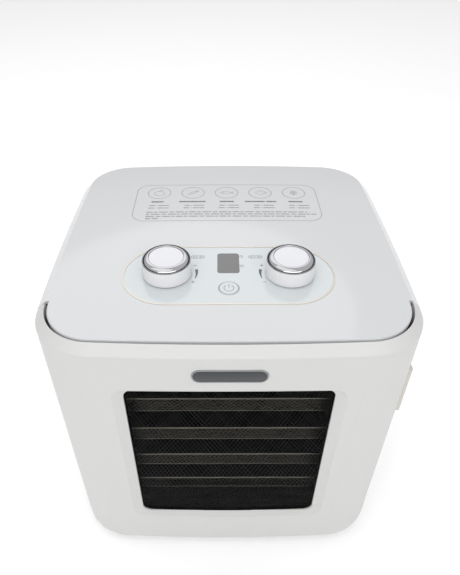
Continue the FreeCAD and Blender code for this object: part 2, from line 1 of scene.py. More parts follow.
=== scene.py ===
import bpy
import bmesh
import math
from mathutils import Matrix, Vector


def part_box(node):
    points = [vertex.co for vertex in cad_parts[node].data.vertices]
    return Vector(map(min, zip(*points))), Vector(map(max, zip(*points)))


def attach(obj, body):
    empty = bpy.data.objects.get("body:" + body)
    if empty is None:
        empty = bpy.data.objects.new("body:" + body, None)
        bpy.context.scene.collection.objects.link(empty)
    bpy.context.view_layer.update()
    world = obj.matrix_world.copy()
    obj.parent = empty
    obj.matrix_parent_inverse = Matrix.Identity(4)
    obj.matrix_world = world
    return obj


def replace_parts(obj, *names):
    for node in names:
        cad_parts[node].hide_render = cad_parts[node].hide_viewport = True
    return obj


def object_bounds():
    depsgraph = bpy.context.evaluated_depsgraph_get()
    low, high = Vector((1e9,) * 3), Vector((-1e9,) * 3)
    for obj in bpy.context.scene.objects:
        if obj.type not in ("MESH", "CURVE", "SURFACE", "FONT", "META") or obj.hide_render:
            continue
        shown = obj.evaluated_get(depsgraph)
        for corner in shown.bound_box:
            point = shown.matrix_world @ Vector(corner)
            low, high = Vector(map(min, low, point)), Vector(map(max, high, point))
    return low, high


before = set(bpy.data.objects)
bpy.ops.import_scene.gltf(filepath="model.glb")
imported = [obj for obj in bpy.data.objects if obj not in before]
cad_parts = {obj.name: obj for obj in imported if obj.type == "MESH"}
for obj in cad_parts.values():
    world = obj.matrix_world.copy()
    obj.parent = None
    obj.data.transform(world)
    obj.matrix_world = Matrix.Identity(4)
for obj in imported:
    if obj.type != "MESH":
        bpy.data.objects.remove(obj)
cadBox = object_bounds()
mm = 0.001


# shader sockets that can be written as sums and products

class Flow:
    def __init__(self, graph, socket):
        self.graph = graph
        self.socket = socket

    def maths(self, kind, first, second):
        return self.graph.node("ShaderNodeMath", {"operation": kind}, {0: first, 1: second})

    def __add__(self, other):
        return self.maths("ADD", self, other)

    __radd__ = __add__

    def __mul__(self, other):
        return self.maths("MULTIPLY", self, other)

    __rmul__ = __mul__

    def __sub__(self, other):
        return self.maths("SUBTRACT", self, other)

    def __rsub__(self, other):
        return self.maths("SUBTRACT", other, self)


class Graph:
    def __init__(self, name, owner=None, shader="Principled BSDF"):
        self.material = owner or bpy.data.materials.new(name)
        self.material.use_nodes = True
        self.tree = self.material.node_tree
        self.shader = self.tree.nodes[shader]

    def node(self, kind, settings=None, sockets=None, out=0):
        made = self.tree.nodes.new(kind)
        for key, value in (settings or {}).items():
            if key == "stops":
                ramp = made.color_ramp
                while len(ramp.elements) < len(value):
                    ramp.elements.new(0.5)
                for element, (place, colour) in zip(ramp.elements, value):
                    element.position = place
                    element.color = colour
            else:
                setattr(made, key, value)
        for key, value in (sockets or {}).items():
            self.feed(made.inputs[key], value)
        return Flow(self, made.outputs[out])

    def feed(self, socket, value):
        if isinstance(value, Flow):
            self.tree.links.new(value.socket, socket)
        else:
            socket.default_value = value

    def place(self, stretch=(1, 1, 1)):
        where = self.node("ShaderNodeTexCoord", {}, {}, "Object")
        return self.node("ShaderNodeMapping", {}, {"Vector": where, "Scale": stretch})

    def noise(self, scale, detail=3.0, stretch=(1, 1, 1)):
        return self.node("ShaderNodeTexNoise", {}, {"Vector": self.place(stretch), "Scale": scale,
                                                   "Detail": detail})

    def cells(self, scale):
        return self.node("ShaderNodeTexVoronoi", {}, {"Vector": self.place(), "Scale": scale})

    def blend(self, amount, first, second):
        return self.node("ShaderNodeMix", {"data_type": "RGBA"}, {0: amount, 6: first, 7: second}, 2)

    def bump(self, height, strength, depth):
        normal = self.node("ShaderNodeBump", {}, {"Height": height, "Strength": strength, "Distance": depth})
        self.feed(self.shader.inputs["Normal"], normal)

    def set(self, **values):
        for key, value in values.items():
            self.feed(self.shader.inputs[key.replace("_", " ")], value)
        return self.material


def rgb(red, green, blue):
    return (red, green, blue, 1.0)


def plasticFinish(name, tone, shade, rough, grain, grainDepth, coat=0.0, drift=6.0, spread=0.05):
    g = Graph(name)
    cloud = g.noise(drift, 4.0)
    fine = g.noise(grain, 2.0)
    g.bump(fine, 0.35, grainDepth)
    return g.set(Base_Color=g.blend(cloud, rgb(*tone), rgb(*shade)),
                 Roughness=rough + (cloud - 0.5) * spread,
                 Coat_Weight=coat, Coat_Roughness=0.06)


def mouldedFinish(name, tone, shade, rough, grain, grainDepth):
    # spark-eroded grain: small rounded pits over slow colour drift
    g = Graph(name)
    pits = g.cells(grain)
    cloud = g.noise(5.0, 4.0)
    g.bump(pits + g.noise(grain * 0.4, 3.0) * 0.6, 0.22, grainDepth)
    return g.set(Base_Color=g.blend(cloud, rgb(*tone), rgb(*shade)), Roughness=rough + (pits - 0.5) * 0.06)


def brushedFinish(name, tone, shade, rough, stretch, depth=0.00004):
    g = Graph(name)
    streaks = g.noise(60.0, 5.0, stretch)
    cloud = g.noise(9.0, 3.0)
    g.bump(streaks, 0.3, depth)
    return g.set(Base_Color=g.blend(cloud, rgb(*tone), rgb(*shade)), Metallic=1.0,
                 Roughness=rough + (streaks - 0.5) * 0.22)


def polishedFinish(name, tone, rough):
    g = Graph(name)
    haze = g.noise(70.0, 5.0)
    g.bump(haze, 0.05, 0.00002)
    return g.set(Base_Color=g.blend(haze, rgb(*tone), rgb(*[t * 0.93 for t in tone])), Metallic=1.0,
                 Roughness=rough + haze * 0.05)


def rubberFinish(name, tone, rough):
    g = Graph(name)
    skin = g.noise(900.0, 2.0)
    dust = g.noise(35.0, 5.0)
    g.bump(skin, 0.4, 0.00006)
    return g.set(Base_Color=g.blend((dust - 0.45) * 1.2, rgb(*tone), rgb(*[t * 1.9 + 0.01 for t in tone])),
                 Roughness=rough - dust * 0.12)


def glassFinish(name):
    g = Graph(name)
    smear = g.noise(14.0, 5.0)
    return g.set(Base_Color=rgb(0.002, 0.002, 0.0022), Roughness=0.02 + smear * 0.03,
                 Alpha=0.38 + smear * 0.04,
                 Specular_IOR_Level=0.04)


def inkFinish(name, tone):
    g = Graph(name)
    speckle = g.noise(2600.0, 2.0)
    return g.set(Base_Color=g.blend(speckle, rgb(*tone), rgb(*[t * 1.12 for t in tone])),
                 Roughness=0.42 + speckle * 0.1)


def boardFinish(name):
    g = Graph(name)
    tracks = g.node("ShaderNodeTexBrick", {}, {
        "Vector": g.place((90, 90, 90)), "Color1": rgb(0.01, 0.11, 0.05), "Color2": rgb(0.02, 0.16, 0.07),
        "Mortar": rgb(0.05, 0.24, 0.11), "Mortar Size": 0.03})
    g.bump(g.noise(400.0, 2.0), 0.2, 0.00003)
    return g.set(Base_Color=tracks, Roughness=0.3 + g.noise(80.0, 2.0) * 0.15)


finish = {
    "lid": plasticFinish("lidGlossWhite", (0.610, 0.616, 0.626), (0.598, 0.604, 0.616), 0.10, 260.0,
                         0.00001, 0.35),
    "satin": mouldedFinish("satinWarmWhite", (0.665, 0.663, 0.652), (0.645, 0.643, 0.632), 0.42, 1500.0,
                           0.00003),
    "panel": plasticFinish("panelPaleBlue", (0.592, 0.628, 0.642), (0.580, 0.616, 0.632), 0.12, 300.0,
                           0.00001, 0.5),
    "knob": plasticFinish("knobWhite", (0.930, 0.930, 0.940), (0.915, 0.915, 0.928), 0.18, 300.0, 0.00001,
                          0.4),
    "cap": plasticFinish("capWhite", (0.720, 0.722, 0.755), (0.705, 0.708, 0.742), 0.20, 300.0, 0.00001,
                         0.2),
    "chrome": polishedFinish("ringChrome", (0.47, 0.47, 0.48), 0.06),
    "gold": polishedFinish("trimChampagne", (0.66, 0.62, 0.56), 0.30),
    "display": plasticFinish("displaySmoke", (0.160, 0.156, 0.156), (0.148, 0.145, 0.146), 0.16, 200.0,
                             0.00001, 0.1),
    "badge": plasticFinish("badgeGrey", (0.042, 0.044, 0.047), (0.036, 0.038, 0.041), 0.34, 900.0, 0.00002,
                           0.1),
    "badgeRim": brushedFinish("badgeRimGrey", (0.36, 0.37, 0.38), (0.31, 0.32, 0.33), 0.36, (1, 1, 6)),
    "glass": glassFinish("windowSmoke"),
    "black": mouldedFinish("blackMoulded", (0.009, 0.009, 0.010), (0.013, 0.013, 0.014), 0.48, 1300.0,
                           0.00004),
    "cream": mouldedFinish("gripCream", (0.640, 0.615, 0.560), (0.615, 0.590, 0.535), 0.36, 1400.0, 0.00003),
    "rubber": rubberFinish("feetRubber", (0.018, 0.018, 0.018), 0.82),
    "seal": rubberFinish("sealGrey", (0.16, 0.16, 0.165), 0.7),
    "steel": brushedFinish("plateSteel", (0.50, 0.50, 0.50), (0.42, 0.42, 0.43), 0.34, (1, 1, 14)),
    # near black as painted shade for the dark closed chamber seen through the window
    "chamberShade": plasticFinish("chamberPaintedShade", (0.009, 0.009, 0.010), (0.014, 0.014, 0.015), 0.42, 700.0,
                            0.00003),
    "wire": brushedFinish("trayWire", (0.74, 0.70, 0.61), (0.64, 0.60, 0.52), 0.32, (8, 1, 1)),
    "board": boardFinish("boardGreen"),
    "brass": brushedFinish("turnedBrass", (0.62, 0.45, 0.20), (0.50, 0.36, 0.16), 0.28, (1, 1, 20)),
    # this grey serves as print, and also as painted shade in the power button's groove
    "inkAndShade": inkFinish("printGreyAndGrooveShade", (0.26, 0.26, 0.27)),
    "inkDark": inkFinish("printDarkGrey", (0.17, 0.17, 0.175)),
    "inkPale": inkFinish("printPaleGrey", (0.34, 0.34, 0.35)),
}
print("finishes made", len(finish))


# mesh helpers: every outline is a list of points, every solid is closed

def newPiece(name, mesh, body, material, smooth=True):
    piece = bpy.data.objects.new(name, mesh)
    bpy.context.scene.collection.objects.link(piece)
    mesh.materials.append(material)
    if smooth:
        mesh.shade_smooth()
    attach(piece, body)
    return piece


def closedMesh(name, points, faces):
    mesh = bpy.data.meshes.new(name)
    mesh.from_pydata([tuple(p) for p in points], [], faces)
    shape = bmesh.new()
    shape.from_mesh(mesh)
    bmesh.ops.remove_doubles(shape, verts=shape.verts, dist=1e-7)
    bmesh.ops.recalc_face_normals(shape, faces=shape.faces)
    shape.to_mesh(mesh)
    shape.free()
    return mesh


def creased(piece, degrees=30):
    # sharp where two faces meet steeply, smooth elsewhere
    piece.data.set_sharp_from_angle(angle=math.radians(degrees))
    return piece


def roundedRect(halfX, halfY, radius, perCorner=10):
    radius = min(radius, halfX, halfY)
    points = []
    for quarter in range(4):
        cx = (halfX - radius) * (1 if quarter in (0, 3) else -1)
        cy = (halfY - radius) * (1 if quarter in (0, 1) else -1)
        for step in range(perCorner + 1):
            angle = math.pi / 2 * (quarter + step / perCorner)
            points.append((cx + radius * math.cos(angle), cy + radius * math.sin(angle)))
    return points


def loft(name, rings, closed=True):
    # rings of equal length; the first and last are filled
    count = len(rings[0])
    points = [p for ring in rings for p in ring]
    faces = []
    for level in range(len(rings) - 1):
        for i in range(count):
            j = (i + 1) % count
            faces.append((level * count + i, level * count + j, (level + 1) * count + j,
                          (level + 1) * count + i))
    if closed:
        faces.append(tuple(reversed(range(count))))
        faces.append(tuple(range((len(rings) - 1) * count, len(rings) * count)))
    return closedMesh(name, points, faces)


def turned(name, centre, profile, segments=96):
    # profile of (radius, height) from the lower centre to the upper centre
    rings = []
    for radius, height in profile:
        ring = []
        for k in range(segments):
            angle = 2 * math.pi * k / segments
            ring.append(Vector(centre) + Vector((radius * math.cos(angle), radius * math.sin(angle),
                                                 height)))
        rings.append(ring)
    return loft(name, rings)


def arcPoints(cx, cy, radius, start, end, steps=24):
    angles = [math.radians(start + (end - start) * i / steps) for i in range(steps + 1)]
    return [(cx + radius * math.cos(a), cy + radius * math.sin(a)) for a in angles]


def circlePoints(cx, cy, rx, ry=None, steps=36):
    ry = rx if ry is None else ry
    return [(cx + rx * math.cos(2 * math.pi * i / steps), cy + ry * math.sin(2 * math.pi * i / steps))
            for i in range(steps)] + [(cx + rx, cy)]


# lid surface, read from the frame

lidLow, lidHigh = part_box("top_lid")
crownRadius = 6660 * mm


def crownZ(x, y):
    return lidHigh.z - (x * x + y * y) / (2 * crownRadius)


inkAndShade = {"depth": 0.00008, "lift": 0.00005, "overlap": 0.18, "step": 4 * mm}


def printed(name, strokes, lift, material, body="cabinet", ground=None):
    # strokes are (points, width), laid as a thin film on the lid's crown
    ground = ground or crownZ
    points = []
    faces = []

    def quad(a, b, c, d):
        start = len(points)
        for level in (-inkAndShade["depth"], 0.0):
            for x, y in (a, b, c, d):
                points.append((x, y, ground(x, y) + lift + level))
        faces.extend([(start + 3, start + 2, start + 1, start),
                      (start + 4, start + 5, start + 6, start + 7)])
        for i in range(4):
            j = (i + 1) % 4
            faces.append((start + i, start + j, start + 4 + j, start + 4 + i))

    for line, width in strokes:
        for first, second in zip(line[:-1], line[1:]):
            a = Vector(first)
            b = Vector(second)
            if (b - a).length < 1e-7:
                continue
            way = (b - a).normalized()
            side = Vector((-way.y, way.x)) * width / 2
            lap = way * width * inkAndShade["overlap"]
            parts = math.ceil((b - a).length / inkAndShade["step"])
            for k in range(parts):
                near = a.lerp(b, k / parts) - lap
                far = a.lerp(b, (k + 1) / parts) + lap
                quad(near + side, near - side, far - side, far + side)
    mesh = bpy.data.meshes.new(name)
    mesh.from_pydata([tuple(p) for p in points], [], faces)
    newPiece(name, mesh, body, material, smooth=False)


# every CAD node keeps its shape and takes a finish

nodeFinish = {
    "satin": ["base_plate", "body_shell", "rear_grille", "seam_plate", "electronics_deck", "door_shell"],
    "lid": ["top_lid"],
    "panel": ["panel_inlay"],
    "gold": ["panel_trim"],
    "display": ["display_window"],
    "glass": ["window_glass"],
    "black": ["front_frame", "fan_impeller", "power_inlet", "display_module", "button_switch", "door_liner",
              "window_frame", "drip_tray", "left_encoder", "right_encoder", "thermal_cutout"],
    "cream": ["door_grip"],
    "rubber": ["rubber_feet"],
    "seal": ["door_seal"],
    "steel": ["heater_element", "motor_bracket", "fan_motor", "motor_shaft", "hinge_brackets", "hinge_pins",
              "magnet_catch", "magnet_strike", "button_spring", "cabinet_screws"],
    # chamber parts take the near-black painted shade
    "chamberShade": ["chamber_liner", "left_runner", "right_runner", "rear_baffle", "fan_housing"],
    "board": ["control_board", "supply_board"],
    "brass": ["air_sensor", "hinge_bushes", "left_knob_shaft", "right_knob_shaft"],
}
for finishName, nodeNames in nodeFinish.items():
    for nodeName in nodeNames:
        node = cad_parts[nodeName]
        node.data.materials.clear()
        node.data.materials.append(finish[finishName])
print("cad nodes dressed")


# rotary knobs: white skirt, polished bevel ring, white cap

knobShape = {"lipRound": 0.5 * mm, "taper": 0.75 * mm, "crestFlat": 0.4 * mm, "ringFoot": 0.3 * mm,
             "capDish": 0.25 * mm, "segments": 128}


def makeKnob(side):
    low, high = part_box(side + "_knob_body")
    ringLow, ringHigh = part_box(side + "_knob_ring")
    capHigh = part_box(side + "_knob_cap")[1]
    centre = Vector(((low.x + high.x) / 2, (low.y + high.y) / 2, 0))
    radius = (high.x - low.x) / 2
    capRadius = capHigh.x - centre.x
    topRadius = ringHigh.x - centre.x
    lip = knobShape["lipRound"]
    skirt = [(radius - 3 * mm, low.z + 1.2 * mm), (radius - 1.6 * mm, low.z + 1.0 * mm),
             (radius - 1.3 * mm, low.z + 0.1 * mm), (radius - lip, low.z),
             (radius - lip * 0.3, low.z + lip * 0.3),
             (radius, low.z + lip)]
    steps = 8
    for i in range(1, steps + 1):
        t = i / steps
        skirt.append((radius - knobShape["taper"] * t * t, low.z + lip + (ringLow.z - low.z - lip) * t))
    skirt.append((topRadius - 0.6 * mm, ringLow.z + 0.02 * mm))
    skirt.append((capRadius - 1 * mm, ringLow.z - 0.4 * mm))
    body = newPiece(side + "KnobSkirt", turned(side + "KnobSkirt", centre, skirt, knobShape["segments"]),
                    side + "_knob", finish["knob"])
    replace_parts(creased(body, 50), side + "_knob_body")
    inner = capRadius + 0.15 * mm
    bevel = [(capRadius - 1.2 * mm, ringLow.z - 0.3 * mm), (topRadius - 0.9 * mm, ringLow.z - 0.05 * mm),
             (topRadius - 0.1 * mm, ringLow.z + 0.02 * mm)]
    crest = inner + knobShape["crestFlat"]
    foot = ringLow.z + knobShape["ringFoot"]
    for i in range(25):
        angle = math.pi / 2 * i / 24
        bevel.append((crest + (topRadius - crest) * math.cos(angle),
                      foot + (ringHigh.z - foot) * math.sin(angle)))
    bevel += [(inner + 0.15 * mm, ringHigh.z - 0.03 * mm), (inner, ringHigh.z - 0.2 * mm),
              (inner, ringHigh.z - 1.4 * mm), (inner - 2 * mm, ringHigh.z - 1.5 * mm)]
    ring = newPiece(side + "KnobRing", turned(side + "KnobRing", centre, bevel, knobShape["segments"]),
                    side + "_knob", finish["chrome"])
    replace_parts(creased(ring, 40), side + "_knob_ring")
    capTop = capHigh.z
    cap = [(capRadius - 1 * mm, capTop - 1.3 * mm), (capRadius, capTop - 1.2 * mm),
           (capRadius, capTop - 0.5 * mm),
           (capRadius - 0.15 * mm, capTop - 0.15 * mm), (capRadius - 0.5 * mm, capTop)]
    for i in range(1, 9):
        t = i / 9
        cap.append(((capRadius - 0.5 * mm) * (1 - t),
                    capTop - knobShape["capDish"] * math.sin(math.pi / 2 * t)))
    disc = newPiece(side + "KnobCap", turned(side + "KnobCap", centre, cap, knobShape["segments"]),
                    side + "_knob", finish["cap"])
    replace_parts(creased(disc, 40), side + "_knob_cap")
    return centre


knobCentres = {side: makeKnob(side) for side in ("left", "right")}
print("knobs made")


# power button: domed cap with a groove and the on-off symbol printed on it

buttonShape = {"edge": 0.5 * mm, "groove": 0.75 * mm, "grooveWidth": 0.4 * mm, "dish": 0.35 * mm,
               "symbolRadius": 3.9 * mm, "symbolLine": 0.6 * mm, "stem": (0.8 * mm, 4.9 * mm)}


def makeButton():
    low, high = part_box("power_button")
    centre = Vector(((low.x + high.x) / 2, (low.y + high.y) / 2, 0))
    radius = (high.x - low.x) / 2
    top = high.z
    groove = radius - buttonShape["groove"]
    half = buttonShape["grooveWidth"] / 2
    # the pocket underneath takes the spring when the button is down
    profile = [(1.7 * mm, low.z + 0.1 * mm), (1.7 * mm, top - 2.7 * mm), (4.3 * mm, top - 2.7 * mm),
               (4.3 * mm, top - 4.05 * mm), (radius - 0.2 * mm, top - 4.1 * mm), (radius, top - 3.9 * mm),
               (radius, top - buttonShape["edge"]),
               (radius - 0.15 * mm, top - 0.15 * mm), (radius - buttonShape["edge"], top),
               (groove + half + 0.1 * mm, top), (groove + half, top - 0.12 * mm),
               (groove + half, top - 0.35 * mm),
               (groove - half, top - 0.35 * mm), (groove - half, top - 0.12 * mm),
               (groove - half - 0.1 * mm, top)]
    for i in range(1, 7):
        t = i / 7
        profile.append(((groove - half) * (1 - t), top - buttonShape["dish"] * math.sin(math.pi / 2 * t)))
    cap = newPiece("powerCap", turned("powerCap", centre, profile, 96), "button", finish["panel"])
    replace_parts(creased(cap, 35), "power_button")

    def dish(x, y):
        reach = min(1.0, math.hypot(x - centre.x, y - centre.y) / groove)
        return top - buttonShape["dish"] * math.sin(math.pi / 2 * (1 - reach))

    line = buttonShape["symbolLine"]
    symbol = [(arcPoints(centre.x, centre.y, buttonShape["symbolRadius"], 125, 415), line),
              ([(centre.x, centre.y + y) for y in buttonShape["stem"]], line)]
    printed("powerSymbol", symbol, 0.06 * mm, finish["inkAndShade"], "button", dish)
    # grey ink on the groove's floor is painted shade for the dark gap ring round the cap
    grooveShade = [(circlePoints(centre.x, centre.y, groove), buttonShape["grooveWidth"])]
    printed("powerGroovePaintedShade", grooveShade, 0.04 * mm, finish["inkAndShade"], "button",
            lambda x, y: top - 0.34 * mm)


makeButton()


# print on the control panel: level marks, pills and tiny signs; radii in mm, angles in degrees

panelMarks = {"levelRadius": 24.2, "levelStart": 10, "levelStep": 1.9, "levelParts": 14, "levelWidth": 2.5,
              "levelTaper": 0.14, "signRadius": 24.6, "signAbove": 24, "signBelow": -29,
              "signHalf": 1.3 * mm, "signLine": 0.6 * mm, "pillY": -35.3 * mm,
              "pillHalf": (5.6 * mm, 1.8 * mm), "pillLine": 0.45 * mm, "pillWord": (2.6, 1.6, 3.2),
              "clockYs": (-34.8 * mm, -48.2 * mm), "clockRadius": 1.5 * mm}


def panelPrint():
    strokes = []
    y0 = knobCentres["left"].y

    def spot(side, sign, radius, degrees):
        angle = math.radians(degrees)
        return (knobCentres[side].x + sign * radius * math.cos(angle) * mm,
                y0 + radius * math.sin(angle) * mm)

    for side, sign in (("left", 1), ("right", -1)):
        for i in range(panelMarks["levelParts"]):
            line = [spot(side, sign, panelMarks["levelRadius"],
                         panelMarks["levelStart"] - (i + k) * panelMarks["levelStep"]) for k in (0, 1.1)]
            strokes.append((line, (panelMarks["levelWidth"] - panelMarks["levelTaper"] * i) * mm))
        half = panelMarks["signHalf"]
        for degrees, upright in ((panelMarks["signAbove"], sign < 0), (panelMarks["signBelow"], sign > 0)):
            x, y = spot(side, sign, panelMarks["signRadius"], degrees)
            strokes.append(([(x - half, y), (x + half, y)], panelMarks["signLine"]))
            if upright:
                strokes.append(([(x, y - half), (x, y + half)], panelMarks["signLine"]))
        px = knobCentres[side].x + (24.2 * mm if sign > 0 else -27.2 * mm)
        py = panelMarks["pillY"]
        pillX, pillY = panelMarks["pillHalf"]
        pill = [(px + x, py + y) for x, y in roundedRect(pillX, pillY, pillY, 6)]
        strokes.append((pill + pill[:1], panelMarks["pillLine"]))
        for k, span in enumerate(panelMarks["pillWord"]):
            left = px - 4.0 * mm + k * 2.9 * mm
            strokes.append(([(left, py), (left + span * 0.62 * mm, py)], 1.0 * mm))
    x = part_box("display_window")[1].x + 2.0 * mm
    for y in panelMarks["clockYs"]:
        strokes.append((circlePoints(x, y, panelMarks["clockRadius"], steps=16), 0.35 * mm))
        strokes.append(([(x, y), (x, y + 1.0 * mm), (x, y), (x + 0.8 * mm, y)], 0.32 * mm))
    printed("panelMarks", strokes, inkAndShade["lift"], finish["inkDark"])


panelPrint()


# drying guide printed on the lid: five round signs in a rounded frame, with generic bars below them

guide = {"centreY": 58.5 * mm, "halfX": 91.0 * mm, "halfY": 35.5 * mm, "corner": 13 * mm, "line": 0.75 * mm,
         "signY": 77.0 * mm, "signPitch": 34.2 * mm, "signRadius": 11.5 * mm, "signLine": 0.8 * mm,
         "nameY": 58.8 * mm, "nameGap": 2.2,
         "nameWidths": ((12.0,), (25.0,), (13.0,), (19.0, 10.0), (13.0,)), "rowYs": (51.5 * mm, 46.7 * mm),
         "lines": ((38.9, 155.0), (35.0, 163.0), (31.0, 153.0), (27.2, 12.0)), "lineLeft": -77.6,
         "wordWidths": (6.0, 3.2, 8.4, 4.6, 7.2, 2.6)}


def fruitSign(cx, cy):
    body = [(cx + 5.2 * mm * math.cos(a) * (1 - 0.12 * math.sin(a) ** 2),
             cy - 0.8 * mm + 4.8 * mm * math.sin(a) * (1 - 0.16 * math.exp(-((a - math.pi / 2) * 3) ** 2)))
            for a in [2 * math.pi * i / 28 for i in range(29)]]
    stalk = [(cx, cy + 3.0 * mm), (cx + 0.6 * mm, cy + 5.6 * mm)]
    leaf = arcPoints(cx + 2.4 * mm, cy + 4.2 * mm, 1.9 * mm, 20, 200, 8)
    return [(body, 0.6 * mm), (stalk, 0.6 * mm), (leaf, 0.5 * mm)]


def rootSign(cx, cy):
    def spin(x, y):
        c = math.cos(math.radians(38))
        s = math.sin(math.radians(38))
        return (cx + (x * c - y * s) * mm, cy + (x * s + y * c) * mm)

    def halfWidth(i):
        return 1.9 * math.sqrt((i + 0.2) / 9.5) if i < 9 else 1.2

    upper = [spin(-6.5 + i, halfWidth(i)) for i in range(11)]
    lower = [spin(-6.5 + i, -halfWidth(i)) for i in range(11)]
    tufts = [[spin(3.6, 0), spin(7.0, bend)] for bend in (-2.0, 0.0, 2.0)]
    rings = [[spin(x, 0.2), spin(x, 1.4)] for x in (-1.5, 1.0)]
    return [(upper + lower[::-1], 0.55 * mm)] + [(t, 0.5 * mm) for t in tufts + rings]


def fishSign(cx, cy):
    upper = [(cx + (-6.5 + i) * mm, cy + 2.7 * mm * math.sin(math.pi * i / 11)) for i in range(12)]
    lower = [(cx + (-6.5 + i) * mm, cy - 2.7 * mm * math.sin(math.pi * i / 11)) for i in range(12)]
    tail = [(cx + 4.5 * mm, cy), (cx + 7.0 * mm, cy + 2.3 * mm), (cx + 6.3 * mm, cy),
            (cx + 7.0 * mm, cy - 2.3 * mm),
            (cx + 4.5 * mm, cy)]
    gill = arcPoints(cx - 4.6 * mm, cy, 2.1 * mm, -50, 50, 8)
    return [(upper, 0.55 * mm), (lower, 0.55 * mm), (tail, 0.5 * mm), (gill, 0.45 * mm)]


def cupSign(cx, cy):
    bowl = [(cx - 4.6 * mm, cy + 1.6 * mm)] + arcPoints(cx, cy + 0.6 * mm, 4.4 * mm, 190, 350, 14)
    bowl += [(cx + 4.6 * mm, cy + 1.6 * mm), (cx - 4.6 * mm, cy + 1.6 * mm)]
    handle = arcPoints(cx + 4.8 * mm, cy - 0.6 * mm, 1.9 * mm, -100, 100, 8)
    steam = [[(cx + dx * mm + 0.5 * mm * math.sin(i * 1.2), cy + (2.8 + i * 0.7) * mm) for i in range(5)]
             for dx in (-1.8, 0.4, 2.4)]
    return [(bowl, 0.55 * mm), (handle, 0.5 * mm)] + [(s, 0.4 * mm) for s in steam]


def herbSign(cx, cy):
    lines = [([(cx - 0.6 * mm, cy - 6.0 * mm), (cx, cy), (cx + 0.4 * mm, cy + 5.6 * mm)], 0.5 * mm)]
    for i, y in enumerate((-3.4, -0.8, 1.8)):
        for sign in (-1, 1):
            reach = 4.6 - i * 0.7
            leaf = []
            for k in range(13):
                t = k / 12
                across = math.sin(2 * math.pi * t) * 1.0
                along = (1 - math.cos(2 * math.pi * t)) / 2 * reach
                leaf.append((cx + sign * (along * 0.85 - across * 0.35) * mm,
                             cy + (y + along * 0.55 + across * 0.75) * mm))
            lines.append((leaf, 0.42 * mm))
    return lines


def blocks(left, right, y, height, unit, seed):
    # a run of small solid blocks of varied width, standing for a word
    strokes = []
    x = left
    step = seed
    while x < right - 0.3 * unit:
        wide = min(unit * (1.0, 0.6, 1.3, 0.8, 1.1, 0.5)[step % 6], right - x)
        tall = height * (1.0, 0.8, 0.9, 0.75, 1.0, 0.85)[(step * 5 + seed) % 6]
        strokes.append(([(x, y), (x + wide, y)], tall))
        x += wide + unit * 0.45
        step += 1
    return strokes


def guidePrint():
    cy = guide["centreY"]
    edge = [(x, cy + y) for x, y in roundedRect(guide["halfX"], guide["halfY"], guide["corner"], 10)]
    pale = [(edge + edge[:1], guide["line"])]
    names = []
    rows = []
    signs = (fruitSign, rootSign, fishSign, cupSign, herbSign)
    for i, sign in enumerate(signs):
        cx = (i - 2) * guide["signPitch"]
        pale.append((circlePoints(cx, guide["signY"], guide["signRadius"]), guide["signLine"]))
        pale += sign(cx, guide["signY"])
        words = guide["nameWidths"][i]
        x = cx - (sum(words) + guide["nameGap"] * (len(words) - 1)) * mm / 2
        for word in words:
            names += blocks(x, x + word * mm, guide["nameY"], 2.5 * mm, 1.5 * mm, i + 2)
            x += (word + guide["nameGap"]) * mm
        cx += (2.0 + 0.2 * (i - 2)) * mm
        for row, rowY in enumerate(guide["rowYs"]):
            left = cx - (9.0 + row * 0.6) * mm
            rows += blocks(left, left + 5.2 * mm, rowY, 1.5 * mm, 1.1 * mm, i + row)
            rows.append(([(left + 6.6 * mm, rowY), (left + 8.0 * mm, rowY)], 0.5 * mm))
            rows += blocks(left + 9.2 * mm, left + (18.5 + row) * mm, rowY, 1.5 * mm, 1.1 * mm, i + row + 3)
    for k, (y, length) in enumerate(guide["lines"]):
        x = guide["lineLeft"]
        last = length + x
        step = k
        while x < last:
            end = min(x + guide["wordWidths"][step % 6], last)
            rows += blocks(x * mm, end * mm, y * mm, 1.6 * mm, 1.2 * mm, step)
            x = end + 1.6
            step += 1
    printed("guideSigns", pale, inkAndShade["lift"], finish["inkPale"])
    printed("guideNames", names, inkAndShade["lift"], finish["inkDark"])
    printed("guideRows", rows, inkAndShade["lift"], finish["inkAndShade"])


guidePrint()
print("prints made")


# badge: blank dark plate with a paler bevelled rim

badgeShape = {"bevel": 0.4 * mm, "rimWidth": 0.85 * mm, "faceInset": 1.15 * mm, "faceRound": 0.2 * mm}


def makeBadge():
    low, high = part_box("badge_plate")
    cx = (low.x + high.x) / 2
    cz = (low.z + high.z) / 2
    halfX = (high.x - low.x) / 2
    halfZ = (high.z - low.z) / 2

    def ring(shrink, y):
        outline = roundedRect(halfX - shrink, halfZ - shrink, halfZ - shrink, 14)
        return [(cx + x, y, cz + z) for x, z in outline]

    front = low.y
    edge = badgeShape["faceInset"]
    rim = [ring(0, high.y), ring(0, front + 0.35 * mm), ring(0.12 * mm, front + 0.1 * mm),
           ring(badgeShape["bevel"], front), ring(badgeShape["rimWidth"], front),
           ring(edge, front + 0.22 * mm), ring(edge + 0.05 * mm, front + 0.5 * mm)]
    piece = newPiece("badgeRim", loft("badgeRim", rim), "door", finish["badgeRim"])
    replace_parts(creased(piece, 35), "badge_plate")
    plate = [ring(edge, front + 0.6 * mm), ring(edge, front + 0.3 * mm),
             ring(edge + badgeShape["faceRound"], front + 0.16 * mm)]
    newPiece("badgeFace", loft("badgeFace", plate), "door", finish["badge"])


makeBadge()


# mesh trays: woven diagonal wires, a rolled rim and pressed walls

traySet = {"pitch": 4.2 * mm, "wire": 0.4 * mm, "rimRadius": 0.95 * mm, "slope": 1.25, "corner": 10 * mm}


def trayPath(halfX, lowY, highY, radius, spacing):
    cy = (lowY + highY) / 2
    outline = [(x, cy + y) for x, y in roundedRect(halfX, (highY - lowY) / 2, radius, 8)]
    path = []
    for first, second in zip(outline, outline[1:] + outline[:1]):
        a = Vector(first)
        b = Vector(second)
        steps = max(1, int((b - a).length / spacing))
        path += [a.lerp(b, i / steps) for i in range(steps)]
    return path


